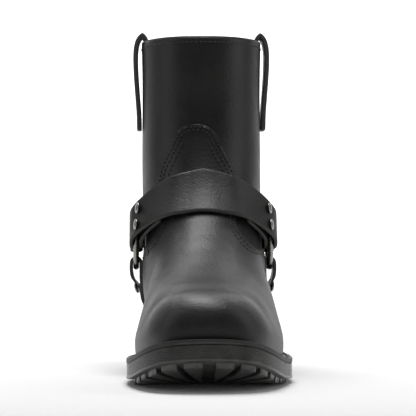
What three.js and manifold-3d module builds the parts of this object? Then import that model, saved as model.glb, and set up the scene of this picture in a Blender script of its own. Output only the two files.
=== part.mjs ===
// A western harness ankle boot for the left foot, standing empty on its sole, in millimetres, +Z up.
// The toe points to -Y and the outer side of the foot is +X.
// The origin is under the middle of the boot, on the floor.
// Inside this file y runs from 0 at the tip of the sole to soleLength at the back of the heel.
import * as THREE from "three";
import { mergeVertices } from "three/addons/utils/BufferGeometryUtils.js";
import Module from "manifold-3d";

const wasm = await Module();
wasm.setup();

// Driving sizes of the sole
const soleLength = 302;
const ballWidth = 113;
const toeSpring = 21; // floor to the underside of the sole's edge at the toe
const lugDepth = 3.2;
const outsoleThickness = 10.3;
const outsoleHeelThickness = 8;
const weltThickness = 3.6;
const weltShow = 7.4; // width of welt that shows beside the forefoot
const heelShow = 3.4; // width of welt that shows behind the heel
const heelBlockHeight = 20;
const heelLiftThickness = 7;
const heelBreastShare = 0.7219; // of the sole's length, from its tip
const heelBreast = heelBreastShare * soleLength;
const heelTaper = 0.1; // share by which the heel's foot is smaller than its seat
const insoleThickness = 4;

// Driving sizes of the upper
const shaftHeight = 240; // floor to the top edge
const shaftHalfWidth = 44.2;
const shaftFront = 167; // from the tip of the sole
const shaftDepth = 124;
const toeBoxHeight = 61; // floor to the top of the toe box
const upperWall = 2.4;
const overlayThickness = 1.5;
const fullness = 2.2; // how far the leather stands out over the welt
const pieceGap = 0.3;
const seatGap = 0.8; // between the welt and the leather that stands on it

// Driving sizes of the harness
const strapThickness = 2.4;
const instepStrapWidth = 27; // upright, at the middle of the instep
const instepStrapHeight = 128; // floor to its middle line
const strapEndWidth = 24;
const heelStrapWidth = 25;
const lowerStrapWidth = 20;
const ringRadius = 19; // to the middle of the wire
const ringWire = 4;
const ringAlong = 194; // from the tip of the sole
const ringHeight = 95;
const rivetHead = 8;
const rivetDome = 1.6;
const rivetSpacing = 12.5;
const pullWidth = 21;
const pullThickness = 2.5;
const pullRise = 8; // how far the pull loop stands above the top edge
const pullDrop = 63; // length of its outer leg below the top edge
const pullStandOff = 3.6;

// Meshing
const stationsAlong = 26;
const ringsUp = 23;
const pointsPerSide = 21;
const turnWeight = 45; // extra points where a ring turns, in mm of its length for each radian

const lerp = (a, b, t) => a + (b - a) * t;
const clamp01 = (t) => Math.min(1, Math.max(0, t));
const ease = (t) => clamp01(t) ** 2 * (3 - 2 * clamp01(t));

// A smooth curve through a short table, without overshoot between its rows.
function through(rows, across, up) {
  const x = rows.map((r) => r[across]);
  const y = rows.map((r) => r[up]);
  const slope = x.slice(1).map((v, i) => (y[i + 1] - y[i]) / (v - x[i]));
  const tangent = x.map((_, i) => {
    if (i === 0) return slope[0];
    if (i === x.length - 1) return slope[i - 1];
    const [a, b] = [slope[i - 1], slope[i]];
    return a * b <= 0 ? 0 : (2 * a * b) / (a + b);
  });
  return (v) => {
    const w = Math.min(x[x.length - 1], Math.max(x[0], v));
    let i = 0;
    while (i < x.length - 2 && w > x[i + 1]) i++;
    const h = x[i + 1] - x[i];
    const t = (w - x[i]) / h;
    return (
      y[i] * (2 * t ** 3 - 3 * t ** 2 + 1) +
      tangent[i] * h * (t ** 3 - 2 * t ** 2 + t) +
      y[i + 1] * (3 * t ** 2 - 2 * t ** 3) +
      tangent[i + 1] * h * (t ** 3 - t ** 2)
    );
  };
}

// Outline of the sole. along is a share of soleLength, inner and outer are shares of ballWidth.
const outlineRows = [
  { along: 0, inner: 0, outer: 0 },
  { along: 0.004, inner: 0.12, outer: 0.12 },
  { along: 0.02, inner: 0.245, outer: 0.24 },
  { along: 0.05, inner: 0.325, outer: 0.32 },
  { along: 0.1, inner: 0.386, outer: 0.385 },
  { along: 0.17, inner: 0.434, outer: 0.44 },
  { along: 0.26, inner: 0.468, outer: 0.492 },
  { along: 0.34, inner: 0.47, outer: 0.522 },
  { along: 0.42, inner: 0.435, outer: 0.522 },
  { along: 0.52, inner: 0.355, outer: 0.465 },
  { along: 0.63, inner: 0.306, outer: 0.384 },
  { along: 0.74, inner: 0.308, outer: 0.338 },
  { along: 0.84, inner: 0.312, outer: 0.318 },
  { along: 0.92, inner: 0.275, outer: 0.276 },
  { along: 0.97, inner: 0.19, outer: 0.19 },
  { along: 0.993, inner: 0.09, outer: 0.09 },
  { along: 1, inner: 0, outer: 0 },
];
const innerShare = through(outlineRows, "along", "inner");
const outerShare = through(outlineRows, "along", "outer");

// Underside of the sole's edge: in front of the ball it rises to toeSpring, behind it to the heel's height.
const heelSeat = heelLiftThickness + heelBlockHeight;
const undersideRows = [
  { along: 0, height: toeSpring },
  { along: 0.06, height: lerp(lugDepth, toeSpring, 0.66) },
  { along: 0.14, height: lerp(lugDepth, toeSpring, 0.31) },
  { along: 0.22, height: lerp(lugDepth, toeSpring, 0.09) },
  { along: 0.3, height: lugDepth },
  { along: 0.44, height: lugDepth },
  { along: 0.54, height: lerp(lugDepth, heelSeat, 0.22) },
  { along: 0.6, height: lerp(lugDepth, heelSeat, 0.53) },
  { along: 0.66, height: lerp(lugDepth, heelSeat, 0.86) },
  { along: 0.715, height: heelSeat },
  { along: 1, height: heelSeat },
];
const undersideShare = through(undersideRows, "along", "height");
const underside = (y) => undersideShare(y / soleLength);
const outsoleTop = (y) => {
  const back = ease((y / soleLength - 0.45) / 0.25);
  return underside(y) + lerp(outsoleThickness, outsoleHeelThickness, back);
};
const weltTop = (y) => outsoleTop(y) + weltThickness;
const showAt = (y) => lerp(weltShow, heelShow, ease((y / soleLength - 0.45) / 0.35));

// Points of the outline, tip first, then the outer side to the heel and the inner side back again.
// One of its stations is at the front of the heel.
const heelShare = heelBreast / soleLength;
const evenShares = Array.from(
  { length: stationsAlong + 1 },
  (_, i) => (1 - Math.cos((Math.PI * i) / stationsAlong)) / 2,
);
const nearest = evenShares.reduce((a, b) => (Math.abs(b - heelShare) < Math.abs(a - heelShare) ? b : a));
const stationShares = evenShares.map((share) => (share === nearest ? heelShare : share));
function outlinePoints(from = 0, to = 1) {
  const spread = from === 0 && to === 1 ? stationShares : evenShares;
  const shares = spread.map((s) => lerp(from, to, s));
  const outer = shares.map((s) => [ballWidth * outerShare(s), soleLength * s]);
  const inner = shares.map((s) => [-ballWidth * innerShare(s), soleLength * s]);
  return [...outer, ...inner.slice(from > 0 ? 0 : 1, to < 1 ? inner.length : -1).reverse()];
}

// The same points moved inwards, square to the outline.
function insetPoints(points, inset) {
  const n = points.length;
  return points.map((p, i) => {
    const a = points[(i + n - 1) % n];
    const b = points[(i + 1) % n];
    const length = Math.hypot(b[0] - a[0], b[1] - a[1]);
    const depth = typeof inset === "function" ? inset(p[1]) : inset;
    return [
      p[0] - ((b[1] - a[1]) / length) * depth,
      p[1] + ((b[0] - a[0]) / length) * depth,
    ];
  });
}

function solidFrom(geometry) {
  const bare = geometry.index ? geometry.toNonIndexed() : geometry.clone();
  bare.deleteAttribute("normal");
  bare.deleteAttribute("uv");
  const merged = mergeVertices(bare, 1e-4);
  const mesh = new wasm.Mesh({
    numProp: 3,
    vertProperties: merged.attributes.position.array,
    triVerts: new Uint32Array(merged.index.array),
  });
  return new wasm.Manifold(mesh);
}

function geometryFrom(solid) {
  const { vertProperties, triVerts } = solid.getMesh();
  const geometry = new THREE.BufferGeometry();
  geometry.setAttribute("position", new THREE.BufferAttribute(vertProperties, 3));
  geometry.setIndex(new THREE.BufferAttribute(triVerts, 1));
  geometry.computeVertexNormals();
  return geometry;
}

// A closed geometry from rings of equally many points: caps close its ends, or the last ring joins the first.
// From the ring turnedFrom on, the faces are split along their other diagonal.
function skin(rings, { cap = true, joined = false, turnedFrom = Infinity } = {}) {
  const n = rings[0].length;
  const position = rings.flat().flatMap((p) => p);
  const index = [];
  const last = joined ? rings.length : rings.length - 1;
  for (let r = 0; r < last; r++) {
    const next = (r + 1) % rings.length;
    for (let i = 0; i < n; i++) {
      const j = (i + 1) % n;
      const [a, b, c, d] = [r * n + i, r * n + j, next * n + j, next * n + i];
      if (r < turnedFrom) index.push(a, b, c, a, c, d);
      else index.push(a, b, d, b, c, d);
    }
  }
  if (cap && !joined) {
    const top = (rings.length - 1) * n;
    for (let i = 0, j = n; i < n / 2; i++, j--) {
      const [a, b, c, d] = [i, i + 1, (j - 1) % n, j % n];
      if (a !== d) index.push(a, d, c);
      if (b !== c) index.push(a, c, b);
      if (a !== d) index.push(top + a, top + c, top + d);
      if (b !== c) index.push(top + a, top + b, top + c);
    }
  }
  const geometry = new THREE.BufferGeometry();
  geometry.setAttribute("position", new THREE.Float32BufferAttribute(position, 3));
  geometry.setIndex(index);
  return geometry;
}

// Stacks layers of one outline. Each layer has an inset and a height that may change along the boot.
function stack(points, layers) {
  return skin(
    layers.map(({ inset, height }) =>
      insetPoints(points, inset).map(([x, y]) => [x, y, height(y)]),
    ),
  );
}

// An extruded outline, given in the plane across one axis, that reaches from low to high along that axis.
function prism(points, axis, low, high) {
  const shape = new THREE.Shape(points.map(([a, b]) => new THREE.Vector2(a, b)));
  const geometry = new THREE.ExtrudeGeometry(shape, { depth: high - low, bevelEnabled: false });
  geometry.translate(0, 0, low);
  const turns = {
    x: new THREE.Matrix4().set(0, 0, 1, 0, 1, 0, 0, 0, 0, 1, 0, 0, 0, 0, 0, 1),
    y: new THREE.Matrix4().set(1, 0, 0, 0, 0, 0, -1, 0, 0, 1, 0, 0, 0, 0, 0, 1),
    z: new THREE.Matrix4(),
  };
  geometry.applyMatrix4(turns[axis]);
  return geometry;
}

// Profile of the boot down its front. height is in mm over the floor, along a share of soleLength.
const toeStart = weltShow;
const ridgeRows = [
  { along: 0.065, height: toeBoxHeight * 0.985 },
  { along: 0.11, height: toeBoxHeight * 1.01 },
  { along: 0.16, height: toeBoxHeight * 1.05 },
  { along: 0.23, height: toeBoxHeight * 1.16 },
  { along: 0.31, height: toeBoxHeight * 1.34 },
  { along: 0.39, height: toeBoxHeight * 1.6 },
  { along: 0.455, height: toeBoxHeight * 1.88 },
  { along: 0.5, height: toeBoxHeight * 2.16 },
  { along: 0.53, height: toeBoxHeight * 2.47 },
  { along: 0.547, height: toeBoxHeight * 2.85 },
  { along: shaftFront / soleLength, height: shaftHeight },
];
const ridgeShare = through(ridgeRows, "along", "height");
const toeRound = 0.05 * soleLength; // length over which the toe box rises
function ridge(y) {
  const rise = clamp01((y - toeStart) / toeRound);
  const dome = (1 - (1 - rise) ** 2.9) ** (1 / 2.9);
  const past = Math.max(0, y - shaftFront);
  return lerp(weltTop(y), ridgeShare(y / soleLength), dome) + past * 14;
}

// The leg. up is a share of the height from the heel seat to the top edge.
// width is a share of shaftHalfWidth and back is a share of shaftDepth.
const seatHeight = weltTop(soleLength * 0.9);
const legRows = [
  { up: 0, width: 0.8, back: 1.054 },
  { up: 0.07, width: 0.84, back: 1.06 },
  { up: 0.14, width: 0.88, back: 1.045 },
  { up: 0.27, width: 0.95, back: 1.0 },
  { up: 0.42, width: 0.98, back: 0.975 },
  { up: 0.6, width: 0.99, back: 0.97 },
  { up: 0.8, width: 0.985, back: 0.985 },
  { up: 1, width: 1, back: 1 },
];
const legWidth = through(legRows, "up", "width");
const legBack = through(legRows, "up", "back");
const upShare = (z) => clamp01((z - seatHeight) / (shaftHeight - seatHeight));
const backAt = (z) => shaftFront + shaftDepth * legBack(upShare(z));

// The edge of the upper on the welt, and its distance from the middle plane.
const edge = insetPoints(outlinePoints(), (y) => showAt(y) + fullness * 0.4);
const outerEdge = edge.slice(0, stationsAlong + 1);
const innerEdge = [edge[0], ...edge.slice(stationsAlong).reverse()];
const firstEdge = edge[0][1];
const lastEdge = edge[stationsAlong][1];
function edgeWidth(side, y) {
  const points = side > 0 ? outerEdge : innerEdge;
  if (y <= firstEdge || y >= lastEdge) return 0;
  let i = 0;
  while (points[i + 1][1] < y) i++;
  const t = (y - points[i][1]) / (points[i + 1][1] - points[i][1]);
  return Math.abs(lerp(points[i][0], points[i + 1][0], t));
}

// Half width of the foot at its fullest, as a share of ballWidth, where that is more than its edge.
const girthRows = [
  { along: 0.3, inner: 0.3, outer: 0.3 },
  { along: 0.42, inner: 0.355, outer: 0.395 },
  { along: 0.52, inner: 0.375, outer: 0.4 },
  { along: 0.62, inner: 0.365, outer: 0.385 },
  { along: 0.72, inner: 0.345, outer: 0.355 },
  { along: 0.85, inner: 0.29, outer: 0.29 },
  { along: 0.94, inner: 0.2, outer: 0.2 },
];
const innerGirth = through(girthRows, "along", "inner");
const outerGirth = through(girthRows, "along", "outer");
const girthRise = 42; // height over the welt at which the foot is that full
const ridgeShift = -0.03 * ballWidth; // the ridge of the foot lies towards the inner side

// Distance of the surface from the middle plane on one side, at a place along the boot and a height.
function reach(side, y, z) {
  const back = backAt(z);
  const atHeel = y - (back - lastEdge) * ease((y - 0.6 * soleLength) / (back - 0.6 * soleLength));
  const share = atHeel / soleLength;
  const base = weltTop(y);
  const squareness = lerp(lerp(2.3, 2.8, ease(share / 0.14)), 2.15, ease((share - 0.12) / 0.17));
  const t = Math.max(0, (z - base) / Math.max(0.5, ridge(y) - base));
  const shape = t < 1 ? (1 - t ** squareness) ** (1 / squareness) : 0;
  const fullest = ballWidth * (side > 0 ? outerGirth(share) : innerGirth(share));
  const atEdge = edgeWidth(side, atHeel);
  const fuller = ease((z - base) / girthRise) * ease((share - 0.25) / 0.15);
  const closing = ease((lastEdge - atHeel) / 45) ** 0.5;
  const foot = lerp(atEdge, Math.max(atEdge, fullest * closing), fuller) * shape;
  const front = frontAt(z);
  const away = clamp01(Math.abs((y - (front + back) / 2) / ((back - front) / 2)));
  const round = (1 - away ** 2.15) ** (1 / 2.15);
  const leg = shaftHalfWidth * legWidth(upShare(z)) * round;
  const asLeg = ease((z - 0.22 * shaftHeight) / (0.33 * shaftHeight));
  const lean = side * ridgeShift * (1 - shape) * (1 - asLeg) * ease((y - firstEdge) / 40);
  return lerp(foot, leg, asLeg) + lean;
}

// Where the front profile stands at a height.
const fronts = new Map();
function frontAt(z) {
  if (!fronts.has(z)) fronts.set(z, findFront(z));
  return fronts.get(z);
}
function findFront(z) {
  let [low, high] = [firstEdge, shaftFront + 10];
  for (let i = 0; i < 24; i++) {
    const half = (low + high) / 2;
    if (ridge(half) < z) low = half;
    else high = half;
  }
  return low;
}

// The height of one ring at a place along the boot. Low rings follow the sole, high ones are level.
const totalRise = shaftHeight - seatHeight;
function ringHeightAt(y, rise) {
  const level = ease((rise / totalRise - 0.2) / 0.4);
  return lerp(weltTop(y), seatHeight, level) + rise;
}

// The two places along the boot where a ring crosses the middle plane.
function ringEnds(rise) {
  let [low, high] = [firstEdge, shaftFront + 10];
  for (let i = 0; i < 24; i++) {
    const half = (low + high) / 2;
    if (ridge(half) < ringHeightAt(half, rise)) low = half;
    else high = half;
  }
  return [low, backAt(ringHeightAt(lastEdge, rise))];
}

// Half a ring on one side, front to back, as evenly spaced points.
function halfRing(side, rise, ends) {
  const steps = 120;
  const line = Array.from({ length: steps + 1 }, (_, i) => {
    const y = lerp(ends[0], ends[1], (1 - Math.cos((Math.PI * i) / steps)) / 2);
    const z = ringHeightAt(y, rise);
    const middle = ((reach(1, y, z) - reach(-1, y, z)) / 2) * (i === steps ? 0 : 1);
    return [i === 0 || i === steps ? middle : side * reach(side, y, z), y, z];
  });
  const along = [0];
  let heading = Math.PI / 2;
  for (let i = 1; i < line.length; i++) {
    const step = line[i].map((v, axis) => v - line[i - 1][axis]);
    const next = Math.atan2(Math.abs(step[0]) * Math.sign(step[0] * side), step[1]);
    const turned = Math.min(0.5, Math.abs(next - heading));
    heading = next;
    along.push(along[i - 1] + Math.hypot(...step) + turnWeight * turned);
  }
  const total = along[along.length - 1];
  return Array.from({ length: pointsPerSide + 1 }, (_, k) => {
    const wanted = (total * k) / pointsPerSide;
    let i = 0;
    while (i < line.length - 2 && along[i + 1] < wanted) i++;
    const t = clamp01((wanted - along[i]) / (along[i + 1] - along[i]));
    return line[i].map((v, axis) => lerp(v, line[i + 1][axis], t));
  });
}

// How far the leather stands out over the welt at a height above it.
const standOut = (rise) => fullness * Math.exp(-(((rise - 11) / 9) ** 2));

function wholeRing(rise) {
  const ends = ringEnds(rise);
  const outer = halfRing(1, rise, ends);
  const inner = halfRing(-1, rise, ends);
  const ring = [...outer, ...inner.slice(1, -1).reverse()];
  const n = ring.length;
  return ring.map((p, i) => {
    const a = ring[(i + n - 1) % n];
    const b = ring[(i + 1) % n];
    const length = Math.hypot(b[0] - a[0], b[1] - a[1]);
    const out = standOut(p[2] - weltTop(p[1]));
    return [p[0] + ((b[1] - a[1]) / length) * out, p[1] - ((b[0] - a[0]) / length) * out, p[2]];
  });
}

// Heights of the rings, so that they are evenly spaced over the toe, the ridge and the back.
function ringRises() {
  const samples = 90;
  const rises = Array.from({ length: samples + 1 }, (_, i) => (totalRise * i) / samples);
  const places = rises.map((rise) => {
    const [front, back] = ringEnds(rise);
    return { front: [front, ringHeightAt(front, rise)], back: [back, ringHeightAt(back, rise)] };
  });
  const travelled = [0];
  for (let i = 1; i <= samples; i++) {
    const [now, before] = [places[i], places[i - 1]];
    const front = Math.hypot(now.front[0] - before.front[0], now.front[1] - before.front[1]);
    const back = Math.hypot(now.back[0] - before.back[0], now.back[1] - before.back[1]);
    travelled.push(travelled[i - 1] + 0.55 * front + 0.45 * back);
  }
  return Array.from({ length: ringsUp + 1 }, (_, k) => {
    const wanted = (travelled[samples] * k) / ringsUp;
    let i = 0;
    while (i < samples - 1 && travelled[i + 1] < wanted) i++;
    return lerp(rises[i], rises[i + 1], (wanted - travelled[i]) / (travelled[i + 1] - travelled[i]));
  });
}

const surface = ringRises().map(wholeRing);
const around = surface[0].length;

// Outward direction at each point of the surface, from its neighbours.
const outward = surface.map((ring, r) =>
  ring.map((_, i) => {
    const up = surface[Math.min(r + 1, ringsUp)][i];
    const down = surface[Math.max(r - 1, 0)][i];
    const ahead = ring[(i + 1) % around];
    const behind = ring[(i + around - 1) % around];
    const along = new THREE.Vector3(...ahead).sub(new THREE.Vector3(...behind));
    const rising = new THREE.Vector3(...up).sub(new THREE.Vector3(...down));
    return along.cross(rising).normalize();
  }),
);

// The surface moved out by a distance, as rings. The first and last rings stay in their own levels.
function grown(distance) {
  return surface.map((ring, r) =>
    ring.map((p, i) => {
      const n = outward[r][i].clone();
      if (r === 0 || r === ringsUp) n.setZ(0).normalize();
      const [x, y, z] = [p[0] + n.x * distance, p[1] + n.y * distance, p[2] + n.z * distance];
      return [x, y, r === 0 ? p[2] + weltTop(y) - weltTop(p[1]) : z];
    }),
  );
}

const lift = (rings, height) => rings.map((ring) => ring.map(([x, y, z]) => [x, y, z + height]));

// Solids of the sole
const lugInset = 4;
const grooveWidth = 4.6;
const grooveCentre = 75; // the grooves of the forefoot spread from here, from the tip of the sole
const grooveStart = 16;
const grooveTurns = [0, 15, 28, 41, 56, 73, 91, 110]; // degrees from the middle line
const barGrooves = [0.34, 0.385, 0.43, 0.475]; // grooves across the tread, as shares of soleLength
const treadEnd = 0.52;

function turnedSlot(turn, width, from, to) {
  const [c, s] = [Math.cos(turn), Math.sin(turn)];
  const corners = [
    [-width / 2, from],
    [width / 2, from],
    [width / 2, to],
    [-width / 2, to],
  ];
  const points = corners.map(([x, y]) => [x * c - y * s, grooveCentre - (x * s + y * c)]);
  return solidFrom(prism(points, "z", -5, 60));
}

function outsoleSolid() {
  const body = stack(outlinePoints(), [
    { inset: 1.2, height: underside },
    { inset: 0, height: (y) => underside(y) + 1.2 },
    { inset: 0, height: outsoleTop },
  ]);
  const tread = stack(insetPoints(outlinePoints(0, treadEnd), lugInset), [
    { inset: 0.6, height: (y) => underside(y) - lugDepth },
    { inset: 0, height: (y) => underside(y) + 1 },
  ]);
  let lugs = solidFrom(tread);
  for (const degrees of grooveTurns) {
    const width = degrees === 0 ? grooveWidth * 1.8 : grooveWidth;
    const sides = degrees === 0 ? [1] : [1, -1];
    for (const side of sides) {
      const turn = (side * degrees * Math.PI) / 180;
      lugs = lugs.subtract(turnedSlot(turn, width, grooveStart, 140));
    }
  }
  for (const share of barGrooves) {
    const [from, to] = [soleLength * share - grooveWidth / 2, soleLength * share + grooveWidth / 2];
    const bar = [[-80, from], [80, from], [80, to], [-80, to]];
    lugs = lugs.subtract(solidFrom(prism(bar, "z", -5, 60)));
  }
  return solidFrom(body).add(lugs);
}

const holeInset = (y) => showAt(y) + 10;
function weltGeometry() {
  const outline = outlinePoints();
  const ring = (inset, height) => insetPoints(outline, inset).map(([x, y]) => [x, y, height(y)]);
  const low = (y) => outsoleTop(y) + pieceGap * 2;
  return skin(
    [
      ring(0.5, low),
      ring(0, (y) => low(y) + 0.5),
      ring(0, (y) => weltTop(y) - 0.5),
      ring(0.5, weltTop),
      ring(holeInset, weltTop),
      ring(holeInset, low),
    ],
    { joined: true },
  );
}

function insoleGeometry() {
  const inside = (y) => showAt(y) + fullness * 0.4 + upperWall + 1;
  const step = (y) => weltTop(y) + pieceGap;
  return stack(outlinePoints(), [
    { inset: (y) => holeInset(y) + pieceGap, height: (y) => outsoleTop(y) + pieceGap * 2 },
    { inset: (y) => holeInset(y) + pieceGap, height: step },
    { inset: inside, height: step },
    { inset: inside, height: (y) => step(y) + insoleThickness },
  ]);
}

// The heel narrows evenly towards its middle, so that its sides are flat.
const heelMiddle = (heelBreast + soleLength) / 2;
const heelOutline = insetPoints(outlinePoints(heelShare, 1), 0.4);
function heelPart(low, high) {
  return skin(
    [low, high].map((height) => {
      const size = 1 - heelTaper * (1 - height / heelSeat);
      return heelOutline.map(([x, y]) => [x * size, heelMiddle + (y - heelMiddle) * size, height]);
    }),
  );
}

function heelLiftSolid() {
  let lift = solidFrom(heelPart(0, heelLiftThickness));
  for (const share of [0.78, 0.84, 0.9]) {
    const [from, to] = [soleLength * share - grooveWidth / 2, soleLength * share + grooveWidth / 2];
    const bar = [[-22, from], [22, from], [22, to], [-22, to]];
    lift = lift.subtract(solidFrom(prism(bar, "z", -5, lugDepth * 0.7)));
  }
  return lift;
}

// Overlays of the upper, cut from a shell just outside it
function shell(low, high) {
  const outer = lift(grown(high), seatGap);
  const inner = lift(grown(low), seatGap);
  return skin([...outer, ...inner.reverse()], { joined: true, turnedFrom: outer.length });
}
const overlay = solidFrom(shell(pieceGap, pieceGap + overlayThickness));

// Outline of the vamp's tongue from the front: x and height in mm.
const tonguePoints = [
  [-41.5, 86], [-36, 97], [-30, 108], [-29, 116], [-29, 140], [-25, 154], [-17, 169], [-9, 176.5], [-3, 178],
  [3, 176.5], [11, 169], [19, 154], [23, 140], [21, 116], [21, 110], [27, 99], [34, 91.5], [40, 86],
];
// Side outlines of the vamp below the strap and of the heel counter: place along the boot and height in mm.
const vampSide = [[-20, 0], [-20, 90], [170, 90], [174, 82], [181, 70], [190, 52], [197, 25], [197, 0]];
const counterSide = [[213, 0], [213, 36], [218, 54], [228, 74], [246, 90], [270, 97], [320, 99], [320, 0]];
const tongue = solidFrom(prism(tonguePoints, "y", -171, 0));
const vampSolid = overlay.intersect(tongue.add(solidFrom(prism(vampSide, "x", -90, 90))));
const counterSolid = overlay.intersect(solidFrom(prism(counterSide, "x", -90, 90)));

// A place on the surface seen from the middle of the leg: turn is 0 at the front and half a turn at the back.
const legMiddle = shaftFront + 0.47 * shaftDepth;
function aroundLeg(turn, z) {
  const side = turn < 0 ? -1 : 1;
  const [c, s] = [Math.cos(turn), Math.abs(Math.sin(turn))];
  let [low, high] = [10, 150];
  for (let i = 0; i < 26; i++) {
    const half = (low + high) / 2;
    const y = legMiddle - half * c;
    const within = y > frontAt(z) && y < backAt(z) && half * s < reach(side, y, z);
    if (within) low = half;
    else high = half;
  }
  return new THREE.Vector3(side * low * s, legMiddle - low * c, z);
}
function onSide(side, y, z) {
  const out = standOut(z - weltTop(y));
  return new THREE.Vector3(side * (reach(side, y, z) + out), y, z + seatGap);
}
function normalOf(place, a, b, stepA, stepB) {
  const across = place(a + stepA, b).sub(place(a - stepA, b));
  const up = place(a, b + stepB).sub(place(a, b - stepB));
  return across.cross(up).normalize();
}

// A flat strip through stations of four places each, given with their outward directions.
function strip(stations, thickness) {
  const rings = stations.map((places) => {
    const outer = places.map(({ at, out }) => at.clone().addScaledVector(out, thickness / 2).toArray());
    const inner = places.map(({ at, out }) => at.clone().addScaledVector(out, -thickness / 2).toArray());
    return [...outer, ...inner.reverse()];
  });
  return skin(rings);
}

// The harness: each strap's end runs through a ring, turns back round its wire and ends below itself.
const slot = ringWire / 2 + 0.35;
const leafOffset = slot + strapThickness / 2;
const endSnug = pieceGap * 3 + strapThickness / 2 + 0.3; // from the leather to a strap's middle, at the rings
const snug = endSnug + overlayThickness; // the same over the vamp and the counter
const ringAcross = (side) => side * (reach(side, ringAlong, ringHeight) + pieceGap + endSnug + leafOffset);
const laterals = [-1, -0.34, 0.34, 1];
const leafLength = 26;
// Depth of the wire's bow across a strap of that width
const sag = (width) => ringRadius - Math.sqrt(ringRadius ** 2 - (width / 2) ** 2);
const foldFrom = (width) => ringRadius - sag(width) - 0.6;

// One folded end.
// path(s, v) gives a place and outward direction at a distance from the fold and a share of the width.
function foldedEnd(side, degrees, width, path, overlayFrom, closing) {
  const turn = (degrees * Math.PI) / 180;
  const spoke = new THREE.Vector3(0, Math.cos(turn), Math.sin(turn));
  const fold = new THREE.Vector3(ringAcross(side), ringAlong, ringHeight);
  fold.addScaledVector(spoke, foldFrom(width(0)));
  const outX = new THREE.Vector3(side, 0, 0);
  const upright = degrees > 90 && degrees < 200 ? -1 : 1;
  const crossways = new THREE.Vector3(0, -Math.sin(turn), Math.cos(turn)).multiplyScalar(upright);
  const leaf = (s, below) =>
    laterals.map((v) => {
      const straight = fold
        .clone()
        .addScaledVector(outX, below ? -leafOffset : leafOffset)
        .addScaledVector(spoke, s)
        .addScaledVector(crossways, (v * width(s)) / 2);
      const { at, out } = path(s, v, width(s));
      const laid = lerp(endSnug, snug, ease((s - overlayFrom) / 12));
      const away = below ? laid : laid + (strapThickness + 0.25) * ease((leafLength + 14 - s) / 12);
      const follow = at.clone().addScaledVector(out, away);
      const t = ease((s - 8.5) / (below ? 14 : closing));
      return {
        at: straight.lerp(follow, t),
        out: outX.clone().lerp(out, t).normalize().multiplyScalar(below ? -1 : 1),
      };
    });
  const bend = [30, 60, 90, 120, 150].map((a) => {
    const w = (a * Math.PI) / 180;
    const out = outX.clone().multiplyScalar(Math.cos(w)).addScaledVector(spoke, -Math.sin(w));
    return laterals.map((v) => ({
      at: fold.clone().addScaledVector(out, leafOffset).addScaledVector(crossways, (v * width(0)) / 2),
      out,
    }));
  });
  const over = [0, 7, 12, 17, 22, 27, 32, 38].map((s) => leaf(s, false));
  const under = [0, 8, 13, 19, leafLength].map((s) => leaf(s, true));
  return { over, bend, under, fold, spoke, crossways, outX };
}

// A strap with two folded ends, at the inner and the outer ring. centreTurn and centreHeight give its middle.
function loopStrap(degrees, centreWidth, endWidth, centreTurn, centreHeight, power) {
  const widthAt = (s) => lerp(endWidth, centreWidth, ease((s - 8) / 50));
  const ends = [-1, 1].map((side) => {
    const turn = (degrees * Math.PI) / 180;
    const from = foldFrom(endWidth);
    const y = ringAlong + Math.cos(turn) * from;
    const z = ringHeight + Math.sin(turn) * from;
    const x = reach(side, y, z);
    const startTurn = Math.atan2(x, legMiddle - y);
    const span = Math.abs(startTurn - centreTurn);
    const length = span * (centreTurn === 0 ? 62 : 52);
    const path = (s, v, width) => {
      const q = clamp01(s / length);
      const turnHere = lerp(startTurn, centreTurn, q);
      const middle = lerp(centreHeight, z, (1 - q) ** power);
      const slope = Math.abs(z - centreHeight) / length;
      const height = middle + (v * width * Math.hypot(1, slope)) / 2;
      const at = aroundLeg(side * turnHere, height);
      const out = normalOf((a, b) => aroundLeg(a, b), side * turnHere, height, 0.03, 1.5);
      return { at: at.setZ(at.z + seatGap), out };
    };
    return { side, length, path, end: foldedEnd(side, degrees, widthAt, path, 12, 20) };
  });
  const across = (part, from, to, count) =>
    Array.from({ length: count }, (_, i) => {
      const s = lerp(from, to, (i + 1) / (count + 1));
      return laterals.map((v) => {
        const { at, out } = part.path(s, v, widthAt(s));
        return { at: at.addScaledVector(out, snug), out };
      });
    });
  const [first, second] = ends;
  const middle = laterals.map((v) => {
    const { at, out } = second.path(second.length, v, centreWidth);
    out.setX(0).normalize();
    return { at: at.addScaledVector(out, snug), out };
  });
  const stations = [
    ...first.end.under.slice().reverse(),
    ...first.end.bend.slice().reverse(),
    ...first.end.over,
    ...across(first, 38, first.length, 5),
    middle,
    ...across(second, 38, second.length, 5).reverse(),
    ...second.end.over.slice().reverse(),
    ...second.end.bend,
    ...second.end.under,
  ];
  return { stations, ends };
}

const black = new THREE.MeshStandardMaterial({ color: 0x2c2c2c, roughness: 0.5 });
const rubber = new THREE.MeshStandardMaterial({ color: 0x3a3a38, roughness: 0.8 });
const nickel = new THREE.MeshStandardMaterial({ color: 0xb8b8b8, roughness: 0.3, metalness: 1 });

const boot = new THREE.Group();
function add(name, geometry, material) {
  const mesh = new THREE.Mesh(geometry, material);
  mesh.name = name;
  boot.add(mesh);
}
const asBody = (geometry) => {
  const solid = solidFrom(geometry);
  return geometryFrom(solid.volume() < 0 ? solidFrom(flipped(geometry)) : solid);
};
function flipped(geometry) {
  const turned = geometry.clone();
  turned.setIndex(Array.from(geometry.index.array).reverse());
  return turned;
}

add("outsole", geometryFrom(outsoleSolid()), rubber);
add("welt", asBody(weltGeometry()), rubber);
add("heel_block", asBody(heelPart(heelLiftThickness + pieceGap, heelSeat - pieceGap)), rubber);
add("heel_lift", geometryFrom(heelLiftSolid()), rubber);
add("insole", asBody(insoleGeometry()), black);
add("upper", asBody(shell(-upperWall, 0)), black);
add("vamp", geometryFrom(vampSolid), black);
add("heel_counter", geometryFrom(counterSolid), black);

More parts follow.
